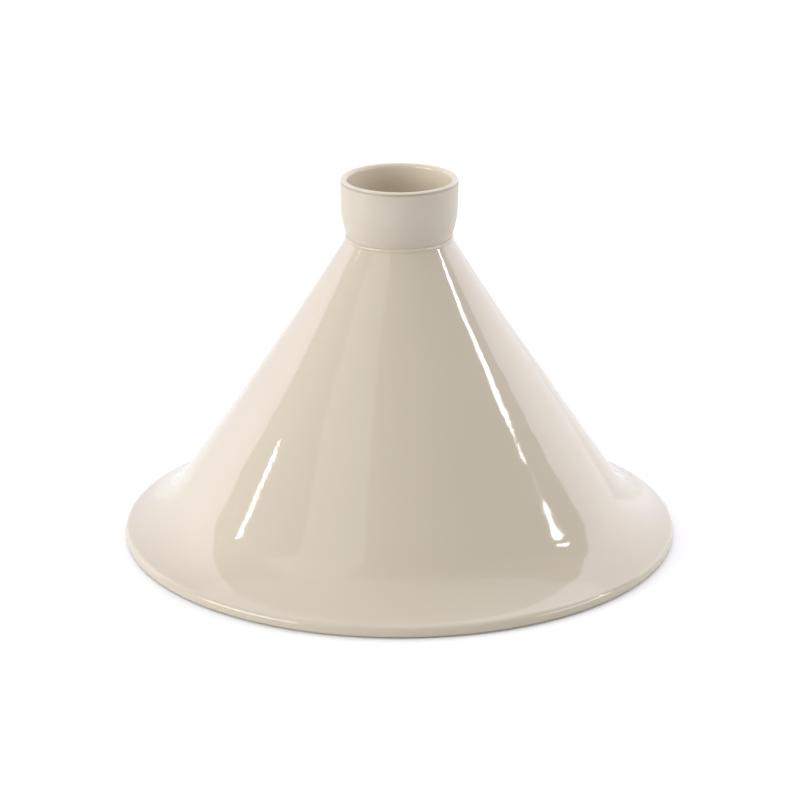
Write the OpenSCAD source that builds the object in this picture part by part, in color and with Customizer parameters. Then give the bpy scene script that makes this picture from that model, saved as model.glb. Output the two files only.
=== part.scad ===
// Conical stoneware lid with a flared brim and a cup-shaped grip.
// The axis of revolution is Z, and the foot ring rests on the plane z = 0.

/* [Overall] */
// Diameter over the brim's edge
brim_d = 300; // [200:1:400]
// Height of the cone, from the lowest glaze on the brim to the neck
cone_h = 166.1; // [120:0.1:240]
// Diameter of the glazed cone at the neck, where the cup sits
neck_d = 56; // [45:0.5:75]

/* [Cone] */
// Thickness of the stoneware wall, with its outer glaze
wall = 5; // [4:0.1:7]
// Radius of the hollow curve that turns the cone into the brim
flare_r = 55; // [30:1:90]
// Slope of the brim at its edge, in degrees from level
brim_slope = 18; // [10:1:30]
// Largest dip of the cone's side below a straight line
side_dip = 1; // [0:0.1:2]

/* [Brim edge] */
// Radius along the top of the edge
edge_r = 2.7; // [1.5:0.1:4]
// Height of the upright side of the edge
edge_side = 2.1; // [0:0.1:4]
// Radius along the bottom of the edge
edge_low_r = 1; // [0.6:0.1:2]

/* [Foot] */
// Width of the bare foot ring
foot_w = 5; // [3:0.5:8]
// Height of the glazed edge above the surface that the foot stands on
foot_h = 0.8; // [0.4:0.1:2]
// Step from the lowest glaze in to the foot ring
foot_step = 2; // [0:0.1:4]
// Bare margin between the foot ring and the glaze inside it
foot_margin = 2; // [1:0.5:4]

/* [Cup] */
// Height of the cup above the neck
cup_h = 32.4; // [24:0.1:48]
// How far the cup's rim stands out beyond its foot
cup_bulge = 3.8; // [1:0.1:8]
// Height of the curved lower part of the cup
belly_h = 18; // [10:0.5:22]
// Outward lean of the cup's upper side, in degrees
side_lean = 1; // [0:0.5:6]
// Thickness of the cup's stoneware wall
cup_wall = 3.2; // [2.5:0.1:5]
// Thickness of the cup's floor above the neck
floor_t = 5; // [3:0.5:8]
// Radius between the cup's floor and its inner wall
floor_fillet = 9; // [4:0.5:12]
// How far the glaze runs over the rim, in degrees from its top
lip_angle = 55; // [30:5:90]

/* [Joint] */
// Width of the neck's seat, from the bore to the outer glaze
seat_w = 7.5; // [5:0.5:10]
// Depth of the seat and of the spigot in it
seat_h = 5; // [3:0.5:8]
// Clearance between the spigot and the bore, for the slip
slip_gap = 0.15; // [0.05:0.05:0.4]
// Radius of the slip bead round the neck
bead_r = 1.2; // [0.8:0.1:1.8]

/* [Glaze] */
// Thickness of the glaze
glaze_t = 0.4; // [0.3:0.05:0.8]

/* [Hidden] */
$fn = 96;

STONEWARE = [0.88, 0.84, 0.77];
GLOSS = [0.80, 0.75, 0.67];

SIDE_STEPS = 14;
FLARE_STEPS = 12;
EDGE_STEPS = 10;
BELLY_STEPS = 8;

// Slopes are in degrees below level going outwards, so an outer face looks towards up_out(slope).
function up_out(slope) = [sin(slope), cos(slope)];
function arc(centre, radius, from, to, steps) =
    [for (i = [0:steps]) centre + radius * up_out(from + (to - from) * i / steps)];
function reversed(list) = [for (i = [len(list) - 1:-1:0]) list[i]];

brim_r = brim_d / 2;
neck_z = foot_h + cone_h;
neck = [neck_d / 2, neck_z];

// Brim edge, rounded at its top and its bottom
low_c = [brim_r - edge_low_r, foot_h + edge_low_r];
edge_c = [brim_r - edge_r, low_c[1] + edge_side];

// The flare is an arc that meets the brim's edge and the straight side without a kink.
flare_c = edge_c + (edge_r + flare_r) * up_out(brim_slope);
neck_to_c = flare_c - neck;
side_slope = atan2(-neck_to_c[1], neck_to_c[0]) + asin(flare_r / norm(neck_to_c));
side_end = flare_c - flare_r * up_out(side_slope);
side_len = norm(side_end - neck);

// The dip is greatest a third of the way down, and fades out smoothly where the flare begins.
DIP_SCALE = 27 / 4;
function dip(u) = side_dip * DIP_SCALE * u * pow(1 - u, 2);
function dip_slope(u) = atan(side_dip * DIP_SCALE * (1 - u) * (1 - 3 * u) / side_len);
function side_slope_at(u) = side_slope + dip_slope(u);
function side_point(u) = neck + u * (side_end - neck) - dip(u) * up_out(side_slope);

// The outer face moved inwards by depth, from the level of the neck to the end of the flare.
function skin(depth) = concat(
    [[neck[0] - depth / sin(side_slope_at(0)), neck_z]],
    [for (i = [1:SIDE_STEPS - 1]) let (u = i / SIDE_STEPS)
        side_point(u) - depth * up_out(side_slope_at(u))],
    arc(flare_c, -(flare_r + depth), side_slope, brim_slope, FLARE_STEPS));

// The same face from the level top_z down to the radius out_r.
function skin_part(depth, top_z, out_r) =
    let (whole = skin(depth),
         top_r = lookup(top_z, [for (p = whole) [p[1], p[0]]]),
         out_z = lookup(out_r, whole))
    concat([[top_r, top_z]],
           [for (p = whole) if (p[1] < top_z && p[0] < out_r) p],
           [[out_r, out_z]]);

function brim_edge(depth) = concat(
    arc(edge_c, edge_r - depth, brim_slope, 90, EDGE_STEPS),
    arc(low_c, edge_low_r - depth, 90, 180, EDGE_STEPS));

// Foot ring
foot_out = low_c[0] - foot_step;
foot_in = foot_out - foot_w;

// Seat and spigot
bore_r = neck_d / 2 - seat_w;
spigot_r = bore_r - slip_gap;
seat_z = neck_z - seat_h;

// Cup
cup_foot = [skin(glaze_t)[0][0], neck_z];
cup_r = cup_foot[0] + cup_bulge;
cup_in_r = cup_r - cup_wall;
floor_z = neck_z + floor_t;
rim_r = cup_wall / 2;
rim_c = [cup_r - rim_r, neck_z + cup_h - glaze_t - rim_r];
fillet_c = [cup_in_r - floor_fillet, floor_z + floor_fillet];

// The belly is an arc from the cup's foot that meets the leaning side without a kink.
side_angle = 90 + side_lean;
side_top = rim_c + rim_r * up_out(side_angle);
belly_top = [side_top[0] - tan(side_lean) * (side_top[1] - neck_z - belly_h), neck_z + belly_h];
belly_chord = belly_top - cup_foot;
belly_angle = 2 * (atan2(belly_chord[0], belly_chord[1]) - side_lean);
belly_r = norm(belly_chord) / 2 / sin(belly_angle / 2);
belly_c = belly_top - belly_r * up_out(side_angle);

// The cup's inner face and its rim as far as the glaze runs, moved into the hollow by depth.
function cup_inside(depth) = concat(
    [[0, floor_z + depth]],
    arc(fillet_c, floor_fillet - depth, 180, 90, BELLY_STEPS),
    arc(rim_c, rim_r + depth, -90, lip_angle, EDGE_STEPS));

module turned(outline) {
    rotate_extrude() polygon(outline);
}

module cone_shell() {
    color(STONEWARE) turned(concat(
        [[bore_r, neck_z]],
        skin(glaze_t),
        brim_edge(glaze_t),
        [[foot_out, foot_h + glaze_t], [foot_out, 0], [foot_in, 0]],
        reversed(skin_part(wall, seat_z, foot_in)),
        [[bore_r, seat_z]]));
}

module cone_glaze() {
    color(GLOSS) turned(concat(
        skin(0), brim_edge(0), reversed(concat(skin(glaze_t), brim_edge(glaze_t)))));
}

// Lines the hollow of the cone, and runs across the spigot at its top.
module inner_glaze() {
    glaze_end = foot_in - foot_margin;
    color(GLOSS) turned(concat(
        [[0, seat_z]],
        skin_part(wall, seat_z, glaze_end),
        reversed(skin_part(wall + glaze_t, seat_z - glaze_t, glaze_end)),
        [[0, seat_z - glaze_t]]));
}

module cup_shell() {
    color(STONEWARE) turned(concat(
        [[0, seat_z], [spigot_r, seat_z], [spigot_r, neck_z]],
        arc(belly_c, belly_r, side_angle + belly_angle, side_angle, BELLY_STEPS),
        arc(rim_c, rim_r, side_angle, lip_angle, EDGE_STEPS),
        reversed(cup_inside(0))));
}

module cup_glaze() {
    color(GLOSS) turned(concat(cup_inside(glaze_t), reversed(cup_inside(0))));
}

// Fills the corner between the cup's foot and the top of the cone's glaze.
module neck_bead() {
    color(GLOSS) difference() {
        rotate_extrude() translate([cup_foot[0] + glaze_t / 2, neck_z]) circle(bead_r);
        cup_shell();
        cone_shell();
        cone_glaze();
    }
}

cone_shell();
cone_glaze();
inner_glaze();
cup_shell();
cup_glaze();
neck_bead();
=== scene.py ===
"""Looks, light and camera for the conical stoneware lid, in metres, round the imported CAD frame."""
import math

import bpy
import numpy as np
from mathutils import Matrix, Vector


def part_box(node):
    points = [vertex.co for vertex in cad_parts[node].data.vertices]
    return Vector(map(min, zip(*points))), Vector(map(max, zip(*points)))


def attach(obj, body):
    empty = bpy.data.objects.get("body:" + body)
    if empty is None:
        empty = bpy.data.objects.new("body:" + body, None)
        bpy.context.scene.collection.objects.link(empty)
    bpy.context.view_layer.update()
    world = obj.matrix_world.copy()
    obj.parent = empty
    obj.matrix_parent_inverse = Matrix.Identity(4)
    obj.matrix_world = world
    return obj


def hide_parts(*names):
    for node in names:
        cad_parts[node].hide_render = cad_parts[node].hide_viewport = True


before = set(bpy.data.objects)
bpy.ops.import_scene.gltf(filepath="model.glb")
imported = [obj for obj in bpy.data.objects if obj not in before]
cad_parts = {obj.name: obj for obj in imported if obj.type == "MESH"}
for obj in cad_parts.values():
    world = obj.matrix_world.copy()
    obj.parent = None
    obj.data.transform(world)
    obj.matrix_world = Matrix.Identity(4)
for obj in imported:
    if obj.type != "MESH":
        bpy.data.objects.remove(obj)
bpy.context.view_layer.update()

MM = 0.001
TINY = 1e-6

# ---------------------------------------------------------------- the turned profile, as in the CAD
GLAZE_LOW, GLAZE_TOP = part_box("cone_glaze")[0].z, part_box("cone_glaze")[1].z
BRIM_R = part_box("cone_glaze")[1].x
CUP_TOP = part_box("cup_glaze")[1].z
CUP_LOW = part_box("cup_shell")[0].z
CUP_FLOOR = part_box("cup_glaze")[0].z

NECK_R = 28 * MM
FLARE_R = 55 * MM
BRIM_SLOPE = 18
SIDE_DIP = 1 * MM
EDGE_R = 2.7 * MM
EDGE_SIDE = 2.1 * MM
EDGE_LOW_R = 1 * MM
WALL = 5 * MM
GLAZE = 0.4 * MM
FOOT_W = 5 * MM
FOOT_STEP = 2 * MM
FOOT_MARGIN = 2 * MM
SEAT_W = 7.5 * MM
SLIP_GAP = 0.15 * MM
CUP_WALL = 3.2 * MM
CUP_BULGE = 3.8 * MM
BELLY_H = 18 * MM
SIDE_LEAN = 1
FLOOR_FILLET = 9 * MM
LIP_ANGLE = 55
BEAD_R = 1.2 * MM
BEAD_FROM, BEAD_TO = -20, 150
BEAD_ROOT_IN, BEAD_ROOT_DOWN = 0.2 * MM, 0.3 * MM
FOOT_ROUND = 0.4 * MM
GLAZE_END_ROUND = 0.25 * MM

SEGMENTS = 384
SHARP_ANGLE = 38
SIDE_ROWS, FLARE_ROWS, EDGE_ROWS = 110, 50, 12
FADE_ROWS = 6


def up_out(slope):
    """Normal of an outer face that falls by slope degrees going outwards, as (r, z)."""
    return np.array([math.sin(math.radians(slope)), math.cos(math.radians(slope))])


def arc(centre, radius, start, end, steps):
    """Points on an arc, by the slope of its face."""
    return [centre + radius * up_out(start + (end - start) * i / steps) for i in range(steps + 1)]


low_c = np.array([BRIM_R - EDGE_LOW_R, GLAZE_LOW + EDGE_LOW_R])
edge_c = np.array([BRIM_R - EDGE_R, low_c[1] + EDGE_SIDE])
neck = np.array([NECK_R, GLAZE_TOP])
flare_c = edge_c + (EDGE_R + FLARE_R) * up_out(BRIM_SLOPE)
to_c = flare_c - neck
side_slope = math.degrees(
    math.atan2(-to_c[1], to_c[0]) + math.asin(FLARE_R / np.linalg.norm(to_c))
)
side_end = flare_c - FLARE_R * up_out(side_slope)
side_len = np.linalg.norm(side_end - neck)


def skin(depth, side_steps, flare_steps):
    """The cone's outer face moved inwards by depth, from the neck to the end of the flare.

    The side sags below a straight line by SIDE_DIP where u (1 - u)^2 is at its highest, 4/27.
    """
    points = []
    for i in range(side_steps):
        u = i / side_steps
        sag = SIDE_DIP * 27 / 4
        slope = side_slope + math.degrees(math.atan(sag * (1 - u) * (1 - 3 * u) / side_len))
        here = neck + u * (side_end - neck) - sag * u * (1 - u) ** 2 * up_out(side_slope)
        points.append(here - depth * up_out(slope) if i else
                      np.array([NECK_R - depth / math.sin(math.radians(slope)), GLAZE_TOP]))
    return points + arc(flare_c, -(FLARE_R + depth), side_slope, BRIM_SLOPE, flare_steps)


def cut(points, top_z, out_r):
    """The part of a skin from the level top_z down to the radius out_r."""
    r, z = np.array(points).T
    top = np.array([np.interp(-top_z, -z, r), top_z])
    end = np.array([out_r, np.interp(out_r, r, z)])
    return [top] + [p for p in points if p[1] < top_z - TINY and p[0] < out_r - TINY] + [end]


def brim_edge(depth, steps):
    """The rounded edge of the brim, moved inwards by depth."""
    return arc(edge_c, EDGE_R - depth, BRIM_SLOPE, 90, steps) + arc(
        low_c, EDGE_LOW_R - depth, 90, 180, steps)


def rounded(points, corners, radius, steps=4):
    """Rounds the points whose numbers are in corners by about that radius."""
    out = []
    for i, p in enumerate(points):
        if i not in corners:
            out.append(p)
            continue
        a, b = points[i - 1], points[(i + 1) % len(points)]
        to_a, to_b = (a - p) / np.linalg.norm(a - p), (b - p) / np.linalg.norm(b - p)
        half = math.acos(np.clip(to_a @ to_b, -1, 1)) / 2
        shorter = min(np.linalg.norm(a - p), np.linalg.norm(b - p))
        run = min(radius / math.tan(half), 0.45 * shorter)
        for k in range(steps + 1):
            t = k / steps
            near_a, near_b = p + run * to_a, p + run * to_b
            out.append((1 - t) ** 2 * near_a + 2 * t * (1 - t) * p + t * t * near_b)
    return out


def waves(seed, count, low, high):
    """A smooth, fixed, uneven height field over a turned face, from -1 to 1 or so."""
    rng = np.random.RandomState(seed)
    length = np.exp(rng.uniform(np.log(low), np.log(high), count))
    turn = rng.uniform(0, 2 * np.pi, count)
    phase = rng.uniform(0, 2 * np.pi, count)
    size = length / high
    size /= np.sqrt((size ** 2).sum() / 2)

    def height(x, y, z):
        total = 0
        for k in range(count):
            c, s = math.cos(turn[k]), math.sin(turn[k])
            q = 2 * np.pi / length[k]
            total = total + size[k] * np.sin(q * (c * x + s * z) + phase[k]) * np.cos(
                q * (s * y - 0.4 * c * z) + 2 * phase[k])
        return total
    return height


def lathe(name, outline, bump=None, bump_rows=None):
    """A closed body of revolution. bump(x, y, z) is how far the rows in bump_rows stand proud."""
    outline = np.array(outline)
    keep = np.linalg.norm(outline - np.roll(outline, 1, axis=0), axis=1) > TINY / 10
    number = np.cumsum(keep) - 1
    outline = outline[keep]
    on_axis = outline[:, 0] < TINY / 10
    tangent = np.roll(outline, -1, axis=0) - np.roll(outline, 1, axis=0)
    normal = np.stack([tangent[:, 1], -tangent[:, 0]], 1)
    normal /= np.linalg.norm(normal, axis=1)[:, None]
    area = 0.5 * np.sum(outline[:, 0] * np.roll(outline[:, 1], -1) -
                        np.roll(outline[:, 0], -1) * outline[:, 1])
    if area < 0:
        normal = -normal
    angle = np.arange(SEGMENTS) * 2 * np.pi / SEGMENTS
    cos, sin = np.cos(angle), np.sin(angle)
    weight = np.zeros(len(outline))
    if bump is not None:
        first, last = (number[min(i, len(number) - 1)] for i in bump_rows)
        run = np.arange(first, last + 1)
        fade = np.minimum(run - first, last - run) / FADE_ROWS
        weight[first:last + 1] = np.clip(fade, 0, 1)
    verts, start = [], []
    for (r, z), (nr, nz), w, axis in zip(outline, normal, weight, on_axis):
        start.append(sum(len(v) for v in verts))
        if axis:
            verts.append(np.array([[0, 0, z]]))
            continue
        ring = np.stack([r * cos, r * sin, np.full(SEGMENTS, z)], 1)
        if w > 0:
            h = w * bump(ring[:, 0], ring[:, 1], ring[:, 2])
            ring += h[:, None] * np.stack([nr * cos, nr * sin, np.full(SEGMENTS, nz)], 1)
        verts.append(ring)
    verts = np.concatenate(verts)
    faces = []
    index = np.arange(SEGMENTS)
    after = (index + 1) % SEGMENTS
    for i in range(len(outline)):
        j = (i + 1) % len(outline)
        if on_axis[i] and on_axis[j]:
            continue
        a, b = start[i], start[j]
        if on_axis[i]:
            faces += [(a, b + int(p), b + int(q)) for p, q in zip(index, after)]
        elif on_axis[j]:
            faces += [(a + int(p), b, a + int(q)) for p, q in zip(index, after)]
        else:
            faces += [(a + int(p), b + int(p), b + int(q), a + int(q)) for p, q in zip(index, after)]
    if area > 0:
        faces = [f[::-1] for f in faces]
    mesh = bpy.data.meshes.new(name)
    mesh.from_pydata(verts.tolist(), [], faces)
    mesh.shade_smooth()
    mesh.set_sharp_from_angle(angle=math.radians(SHARP_ANGLE))
    mesh.validate()
    piece = bpy.data.objects.new(name, mesh)
    bpy.context.scene.collection.objects.link(piece)
    return piece


def show(piece, node, material):
    """Puts a piece in the place of a CAD node, with its material."""
    piece.data.materials.append(material)
    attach(piece, "root")
    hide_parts(node)


# ---------------------------------------------------------------- materials
def principled(name, **sockets):
    """A material with those values on its shader, as (material, node tree, shader)."""
    material = bpy.data.materials.new(name)
    material.use_nodes = True
    shader = material.node_tree.nodes["Principled BSDF"]
    for key, value in sockets.items():
        shader.inputs[key.replace("_", " ")].default_value = value
    return material, material.node_tree, shader


def noise(tree, scale, detail=3.0, rough=0.5):
    """A noise from 0 to 1 in object space."""
    where = tree.nodes.new("ShaderNodeTexCoord")
    node = tree.nodes.new("ShaderNodeTexNoise")
    node.inputs["Scale"].default_value = scale
    node.inputs["Detail"].default_value = detail
    node.inputs["Roughness"].default_value = rough
    tree.links.new(where.outputs["Object"], node.inputs["Vector"])
    return node.outputs["Fac"]


def spread(tree, source, low, high):
    """A noise from 0.3 to 0.7, where most of it lies, stretched to run from low to high."""
    node = tree.nodes.new("ShaderNodeMapRange")
    node.inputs["From Min"].default_value = 0.3
    node.inputs["From Max"].default_value = 0.7
    node.inputs["To Min"].default_value = low
    node.inputs["To Max"].default_value = high
    tree.links.new(source, node.inputs["Value"])
    return node.outputs["Result"]


def two_colours(tree, source, first, second):
    """The first colour where the source is 0, the second where it is 1."""
    node = tree.nodes.new("ShaderNodeMix")
    node.data_type = "RGBA"
    node.inputs[6].default_value = (*first, 1)
    node.inputs[7].default_value = (*second, 1)
    tree.links.new(source, node.inputs["Factor"])
    return node.outputs[2]


def bumped(tree, shader, source, distance, before=None):
    """Lets a height stand proud by distance in the shading, on top of an earlier bump."""
    node = tree.nodes.new("ShaderNodeBump")
    node.inputs["Distance"].default_value = distance
    tree.links.new(source, node.inputs["Height"])
    if before is not None:
        tree.links.new(before, node.inputs["Normal"])
    tree.links.new(node.outputs["Normal"], shader.inputs["Normal"])
    return node.outputs["Normal"]


def glaze(name, light, dark):
    """A glossy glaze, slightly patchy in colour and gloss, with a fine orange peel."""
    material, tree, shader = principled(name, IOR=1.5)
    patch = spread(tree, noise(tree, 14, 4), 0, 1)
    tree.links.new(two_colours(tree, patch, light, dark), shader.inputs["Base Color"])
    tree.links.new(spread(tree, noise(tree, 60, 3), 0.04, 0.07), shader.inputs["Roughness"])
    peel = bumped(tree, shader, noise(tree, 260, 2), 0.02 * MM)
    bumped(tree, shader, noise(tree, 900, 2), 0.004 * MM, before=peel)
    return material


def throwing_lines(tree, where):
    """Fine level rings, as a potter's fingers leave them: a noise squeezed along Z."""
    rings = tree.nodes.new("ShaderNodeMapping")
    rings.inputs["Scale"].default_value = (6, 6, 260)
    tree.links.new(where.outputs["Object"], rings.inputs["Vector"])
    lines = tree.nodes.new("ShaderNodeTexNoise")
    lines.inputs["Scale"].default_value = 1.0
    lines.inputs["Detail"].default_value = 3.0
    tree.links.new(rings.outputs["Vector"], lines.inputs["Vector"])
    return lines.outputs["Fac"]


def band_above(tree, where, colour, level, width, band):
    """The colour, turned to the band colour over that width just below the level."""
    axes = tree.nodes.new("ShaderNodeSeparateXYZ")
    tree.links.new(where.outputs["Object"], axes.inputs[0])
    rise = tree.nodes.new("ShaderNodeMapRange")
    rise.inputs["From Min"].default_value = level - width
    rise.inputs["From Max"].default_value = level
    rise.interpolation_type = "SMOOTHSTEP"
    tree.links.new(axes.outputs["Z"], rise.inputs["Value"])
    node = tree.nodes.new("ShaderNodeMix")
    node.data_type = "RGBA"
    node.inputs[7].default_value = (*band, 1)
    tree.links.new(rise.outputs["Result"], node.inputs["Factor"])
    tree.links.new(colour, node.inputs[6])
    return node.outputs[2]


def stoneware(name, light, dark, line=None):
    """Bare fired clay. line is (z, width, colour): a darker band of clay colour just below the edge
    of a glaze.
    """
    material, tree, shader = principled(name, IOR=1.5)
    patch = spread(tree, noise(tree, 45, 5, 0.6), 0, 1)
    colour = two_colours(tree, patch, light, dark)
    where = tree.nodes.new("ShaderNodeTexCoord")
    if line is not None:
        colour = band_above(tree, where, colour, *line)
    tree.links.new(colour, shader.inputs["Base Color"])
    tree.links.new(spread(tree, noise(tree, 200, 3), 0.40, 0.48), shader.inputs["Roughness"])
    lines = bumped(tree, shader, throwing_lines(tree, where), 0.10 * MM)
    grain = bumped(tree, shader, noise(tree, 2600, 4, 0.6), 0.03 * MM, before=lines)
    bumped(tree, shader, noise(tree, 500, 3), 0.03 * MM, before=grain)
    return material


GLOSS_LIGHT, GLOSS_DARK = (0.598, 0.530, 0.430), (0.580, 0.512, 0.412)
# The cup's glaze is the cone's glaze painted lighter: painted light inside the cup and on its lip.
CUP_GLOSS_PAINTED_LIT_LIGHT, CUP_GLOSS_PAINTED_LIT_DARK = (0.678, 0.604, 0.490), (0.650, 0.575, 0.462)
BARE_LIGHT, BARE_DARK = (0.602, 0.540, 0.458), (0.572, 0.510, 0.428)
# A darker band of clay colour just below the glaze edge at the lip.
LIP_BAND = (0.45, 0.385, 0.30)
LIP_LINE, LIP_LINE_W = CUP_TOP - 1.6 * MM, 0.9 * MM
cone_gloss = glaze("cone_gloss", GLOSS_LIGHT, GLOSS_DARK)
inner_gloss = glaze("inner_gloss", GLOSS_LIGHT, GLOSS_DARK)
# Painted light: the cup's glaze is a lighter copy of the cone's glaze.
cup_gloss_painted_lit = glaze("cup_gloss_painted_lit", CUP_GLOSS_PAINTED_LIT_LIGHT, CUP_GLOSS_PAINTED_LIT_DARK)
bead_gloss = glaze("bead_gloss", GLOSS_LIGHT, GLOSS_DARK)
cup_bare = stoneware("cup_bare", BARE_LIGHT, BARE_DARK, (LIP_LINE, LIP_LINE_W, LIP_BAND))
cone_bare = stoneware("cone_bare", BARE_LIGHT, BARE_DARK)

# ---------------------------------------------------------------- pieces
foot_out = low_c[0] - FOOT_STEP
foot_in = foot_out - FOOT_W
bore_r = NECK_R - SEAT_W
spigot_r = bore_r - SLIP_GAP

outside = skin(0, SIDE_ROWS, FLARE_ROWS) + brim_edge(0, EDGE_ROWS)
under_glaze = skin(GLAZE, 40, 24) + brim_edge(GLAZE, EDGE_ROWS)
inside = skin(WALL, 60, 40)
face = skin(WALL + GLAZE, 60, 40)

# The thrown surface is slightly uneven, which bends the highlights.
throwing = waves(7, 14, 22 * MM, 120 * MM)
UNEVEN = 0.10 * MM
SWELL, SWELL_AT, SWELL_Z = 0.3 * MM, math.radians(-137), 22 * MM
SWELL_TURN, SWELL_RISE = math.radians(18), 11 * MM


def swell(x, y, z):
    """A slight fullness low on one side, as in a hand-thrown piece."""
    turn = np.arctan2(y, x) - SWELL_AT
    return SWELL * np.exp(-(turn / SWELL_TURN) ** 2 - ((z - SWELL_Z) / SWELL_RISE) ** 2)


cone = lathe("cone_glaze_coat", outside + under_glaze[::-1],
             bump=lambda x, y, z: UNEVEN * throwing(x, y, z) + swell(x, y, z),
             bump_rows=(0, SIDE_ROWS + FLARE_ROWS + EDGE_ROWS // 2))
show(cone, "cone_glaze", cone_gloss)

foot = [np.array([foot_out, GLAZE_LOW + GLAZE]), np.array([foot_out, 0.0]),
        np.array([foot_in, 0.0])]
body = [np.array([bore_r, GLAZE_TOP])] + under_glaze + foot + cut(inside, CUP_LOW, foot_in)[::-1]
body += [np.array([bore_r, CUP_LOW])]
foot_at = 1 + len(under_glaze)
show(lathe("cone_body", rounded(body, (foot_at + 1, foot_at + 2), FOOT_ROUND)),
     "cone_shell", cone_bare)

glaze_end = foot_in - FOOT_MARGIN
lining = [np.array([0.0, CUP_LOW])] + cut(inside, CUP_LOW, glaze_end)
lining += cut(face, CUP_LOW - GLAZE, glaze_end)[::-1] + [np.array([0.0, CUP_LOW - GLAZE])]
show(lathe("inner_glaze_coat", lining), "inner_glaze", inner_gloss)

# The cup
cup_foot = np.array([under_glaze[0][0], GLAZE_TOP])
cup_out = cup_foot[0] + CUP_BULGE
cup_in = cup_out - CUP_WALL
rim_r = CUP_WALL / 2
rim_c = np.array([cup_out - rim_r, CUP_TOP - GLAZE - rim_r])
fillet_c = np.array([cup_in - FLOOR_FILLET, CUP_FLOOR + FLOOR_FILLET])
side_angle = 90 + SIDE_LEAN
side_top = rim_c + rim_r * up_out(side_angle)
belly_top = np.array([side_top[0] - math.tan(math.radians(SIDE_LEAN)) *
                      (side_top[1] - GLAZE_TOP - BELLY_H), GLAZE_TOP + BELLY_H])
chord = belly_top - cup_foot
belly_angle = 2 * (math.degrees(math.atan2(chord[0], chord[1])) - SIDE_LEAN)
belly_r = np.linalg.norm(chord) / 2 / math.sin(math.radians(belly_angle / 2))
belly_c = belly_top - belly_r * up_out(side_angle)


def well(depth):
    """The inside of the cup and its rim, standing proud of the clay by depth."""
    return [np.array([0.0, CUP_FLOOR + depth])] + arc(
        fillet_c, FLOOR_FILLET - depth, 180, 90, 24) + arc(rim_c, rim_r + depth, -90, LIP_ANGLE, 24)


def split(a, b, steps):
    """Points evenly along a straight line."""
    return [a + (b - a) * i / steps for i in range(steps + 1)]


rim_end = arc(rim_c, rim_r, side_angle, LIP_ANGLE, 12)
outer_wall = arc(belly_c, belly_r, side_angle + belly_angle, side_angle, 24) + split(
    belly_top, side_top, 14)[1:-1]
spigot = [np.array([0.0, CUP_LOW]), np.array([spigot_r, CUP_LOW]),
          np.array([spigot_r, GLAZE_TOP])]
cup_body = spigot + outer_wall + rim_end + well(0)[::-1]
hand = waves(11, 10, 12 * MM, 45 * MM)
CUP_UNEVEN = 0.05 * MM
show(lathe("cup_body", cup_body, bump=lambda x, y, z: CUP_UNEVEN * hand(x, y, z),
           bump_rows=(len(spigot), len(spigot) + len(outer_wall))),
     "cup_shell", cup_bare)
coat_face = well(GLAZE)
coat = rounded(coat_face + well(0)[::-1], (len(coat_face) - 1,), GLAZE_END_ROUND)
show(lathe("cup_glaze_coat", coat),
     "cup_glaze", cup_gloss_painted_lit)

bead_c = np.array([cup_foot[0] + GLAZE / 2, GLAZE_TOP])
bead = arc(bead_c, BEAD_R, BEAD_FROM, BEAD_TO, 20)
bead += [bead_c - np.array([BEAD_ROOT_IN, BEAD_ROOT_DOWN])]
show(lathe("neck_slip_bead", bead), "neck_bead", bead_gloss)


# ---------------------------------------------------------------- floor, world and lamps
FLOOR_HALF = 6.0
WHITE = (1, 1, 1, 1)


def emission(tree, strength, colour=(1, 1, 1)):
    node = tree.nodes.new("ShaderNodeEmission")
    node.inputs["Color"].default_value = (*colour, 1)
    node.inputs["Strength"].default_value = strength
    return node


def diffuse(tree, colour):
    node = tree.nodes.new("ShaderNodeBsdfDiffuse")
    node.inputs["Color"].default_value = (*colour, 1)
    return node


def larger(tree, first, second):
    node = tree.nodes.new("ShaderNodeMath")
    node.operation = "MAXIMUM"
    tree.links.new(first, node.inputs[0])
    tree.links.new(second, node.inputs[1])
    return node.outputs[0]


def empty_material(name):
    material = bpy.data.materials.new(name)
    material.use_nodes = True
    material.node_tree.nodes.clear()
    return material, material.node_tree


def white_floor():
    """White where it is seen, with the object's shadow on it, and greyer in the light it throws."""
    mesh = bpy.data.meshes.new("floor")
    h = FLOOR_HALF
    mesh.from_pydata([(-h, -h, 0), (h, -h, 0), (h, h, 0), (-h, h, 0)], [], [(0, 1, 2, 3)])
    floor = bpy.data.objects.new("floor", mesh)
    bpy.context.scene.collection.objects.link(floor)
    material, tree = empty_material("floor_white")
    seen = tree.nodes.new("ShaderNodeAddShader")
    tree.links.new(diffuse(tree, (0.96, 0.96, 0.96)).outputs[0], seen.inputs[0])
    tree.links.new(emission(tree, 0.05).outputs[0], seen.inputs[1])
    path = tree.nodes.new("ShaderNodeLightPath")
    looked_at = larger(tree, path.outputs["Is Camera Ray"], path.outputs["Is Glossy Ray"])
    looked_at = larger(tree, looked_at, path.outputs["Is Transmission Ray"])
    mix = tree.nodes.new("ShaderNodeMixShader")
    out = tree.nodes.new("ShaderNodeOutputMaterial")
    tree.links.new(looked_at, mix.inputs[0])
    tree.links.new(diffuse(tree, (0.62, 0.62, 0.60)).outputs[0], mix.inputs[1])
    tree.links.new(seen.outputs[0], mix.inputs[2])
    tree.links.new(mix.outputs[0], out.inputs["Surface"])
    mesh.materials.append(material)


def background(tree, strength):
    node = tree.nodes.new("ShaderNodeBackground")
    node.inputs["Color"].default_value = WHITE
    node.inputs["Strength"].default_value = strength
    return node


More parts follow.
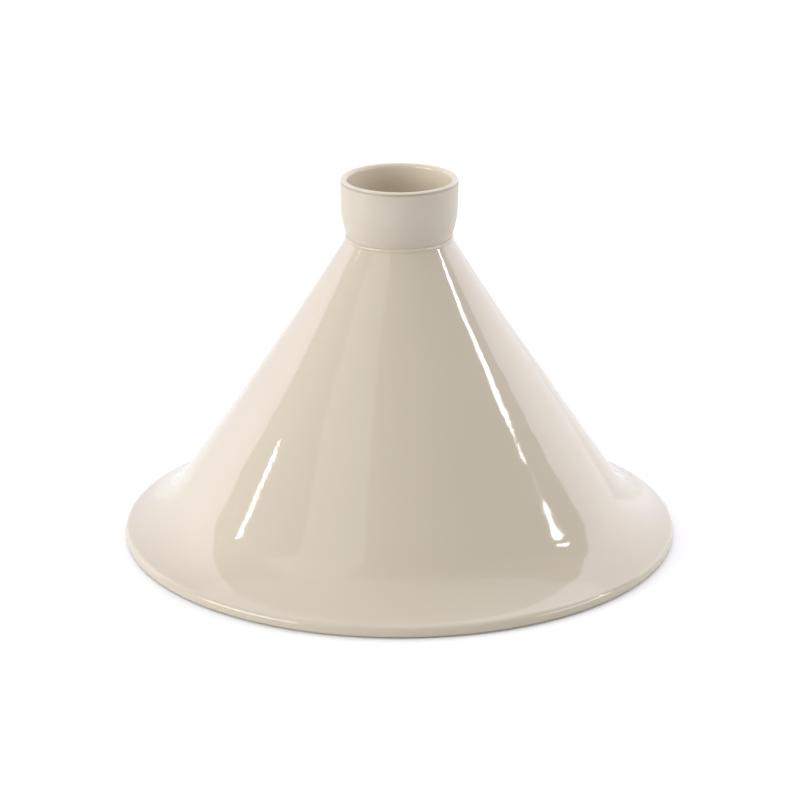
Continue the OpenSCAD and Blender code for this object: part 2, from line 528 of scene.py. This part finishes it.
def studio_world():
    """A dim even room, seen as white by the camera."""
    world = bpy.data.worlds.new("studio")
    bpy.context.scene.world = world
    world.use_nodes = True
    tree = world.node_tree
    tree.nodes.clear()
    path = tree.nodes.new("ShaderNodeLightPath")
    mix = tree.nodes.new("ShaderNodeMixShader")
    out = tree.nodes.new("ShaderNodeOutputWorld")
    tree.links.new(path.outputs["Is Camera Ray"], mix.inputs[0])
    tree.links.new(background(tree, 0.27).outputs[0], mix.inputs[1])
    tree.links.new(background(tree, 1.0).outputs[0], mix.inputs[2])
    tree.links.new(mix.outputs[0], out.inputs["Surface"])


def panel(name, centre, look_at, width, height, brightness):
    """A soft rectangular light that faces a point. A brightness of 1 is seen as white."""
    lamp = bpy.data.lights.new(name, "AREA")
    lamp.shape = "RECTANGLE"
    lamp.size, lamp.size_y = width, height
    lamp.energy = brightness * width * height * math.pi
    light = bpy.data.objects.new(name, lamp)
    bpy.context.scene.collection.objects.link(light)
    light.location = centre
    light.rotation_euler = (Vector(look_at) - Vector(centre)).to_track_quat("-Z", "Y").to_euler()
    light.visible_camera = False
    return light


def toward(azimuth, elevation, distance, base):
    """A point seen from base at an azimuth clockwise from +Y and an elevation, in degrees."""
    az, el = math.radians(azimuth), math.radians(elevation)
    return Vector(base) + distance * Vector(
        (math.cos(el) * math.sin(az), math.cos(el) * math.cos(az), math.sin(el)))


white_floor()
studio_world()

# Points on the lid that the lamps face. The streaks of the three small lamps are seen there.
CENTRE = (0, 0, 0.08)
LEFT_SIDE = (-0.074, -0.076, 0.047)
RIGHT_SIDE = (0.05, -0.05, 0.10)
RIGHT_LOW = (0.081, -0.084, 0.032)
# The overhead lights face points just off straight below, which fixes how they are turned.
panel("overhead", (0, 0.5, 2.0), (0, 0.5001, 0), 3.0, 3.4, 0.55).data.shape = "ELLIPSE"
panel("overhead_left", (-1.5, -1.4, 2.0), (-1.5, -1.3999, 0), 1.5, 2.1, 0.9)
panel("left_key", toward(-118, 13, 3, CENTRE), CENTRE, 2.4, 1.2, 7.5)
panel("right_key", toward(105, 13, 3, CENTRE), CENTRE, 2.0, 1.2, 4.3)
panel("left_lamp", toward(-85.6, 26.5, 12, LEFT_SIDE), LEFT_SIDE, 0.72, 0.16, 26)
panel("right_lamp", toward(84.4, 28.8, 4, RIGHT_SIDE), RIGHT_SIDE, 0.38, 0.13, 28)
panel("right_low_lamp", toward(87.6, 24.6, 12, RIGHT_LOW), RIGHT_LOW, 0.90, 0.56, 28)


def screen(name, corners, material):
    """A flat sheet that only reflections and light can see."""
    mesh = bpy.data.meshes.new(name)
    mesh.from_pydata(corners, [], [tuple(range(len(corners)))])
    mesh.materials.append(material)
    board = bpy.data.objects.new(name, mesh)
    bpy.context.scene.collection.objects.link(board)
    board.visible_camera = False


# A lit sheet behind the object, brighter towards its two ends. Levels are (x, brightness).
BACK_Y = 2.0
BACK_TOP_LEVEL = 2.5
BACK_COLOUR = (0.90, 0.89, 1.0)
BACK_OUTLINE = ((-5.4, 0), (5.7, 0), (5.7, 3.0), (4.0, 4.1), (-3.8, 4.1), (-5.4, 3.0))
BACK_LEVELS = ((-5.4, 2.0), (-3.2, 1.9), (-1.9, 1.35), (-0.8, 1.15),
               (0.7, 1.5), (1.8, 1.8), (3.2, 2.2), (5.7, 2.2))


def lit_sheet():
    """An emission whose brightness follows BACK_LEVELS along X."""
    material, tree = empty_material("backdrop_light")
    where = tree.nodes.new("ShaderNodeTexCoord")
    axes = tree.nodes.new("ShaderNodeSeparateXYZ")
    left, right = BACK_LEVELS[0][0], BACK_LEVELS[-1][0]
    across = tree.nodes.new("ShaderNodeMapRange")
    across.inputs["From Min"].default_value = left
    across.inputs["From Max"].default_value = right
    levels = tree.nodes.new("ShaderNodeFloatCurve")
    curve = levels.mapping.curves[0]
    places = [((x - left) / (right - left), level / BACK_TOP_LEVEL) for x, level in BACK_LEVELS]
    curve.points[0].location, curve.points[-1].location = places[0], places[-1]
    for place in places[1:-1]:
        curve.points.new(*place)
    levels.mapping.update()
    times = tree.nodes.new("ShaderNodeMath")
    times.operation = "MULTIPLY"
    times.inputs[1].default_value = BACK_TOP_LEVEL
    glow = emission(tree, 1.0, BACK_COLOUR)
    out = tree.nodes.new("ShaderNodeOutputMaterial")
    tree.links.new(where.outputs["Object"], axes.inputs[0])
    tree.links.new(axes.outputs["X"], across.inputs["Value"])
    tree.links.new(across.outputs["Result"], levels.inputs["Value"])
    tree.links.new(levels.outputs["Value"], times.inputs[0])
    tree.links.new(times.outputs["Value"], glow.inputs["Strength"])
    tree.links.new(glow.outputs[0], out.inputs["Surface"])
    return material


screen("lit_backdrop", [(x, BACK_Y, z) for x, z in BACK_OUTLINE], lit_sheet())

# ---------------------------------------------------------------- camera
CAMERA_AT = Vector((0, -1.4726, 0.5992))
CAMERA_AIM = Vector((0, 0, 0.0744))
camera_data = bpy.data.cameras.new("camera")
camera_data.sensor_width = 36
camera_data.lens = 129.5
camera_data.shift_x = 0.00075
camera = bpy.data.objects.new("camera", camera_data)
bpy.context.scene.collection.objects.link(camera)
camera.location = CAMERA_AT
camera.rotation_euler = (CAMERA_AIM - CAMERA_AT).to_track_quat("-Z", "Y").to_euler()
bpy.context.scene.camera = camera
bpy.context.scene.view_settings.view_transform = "Standard"
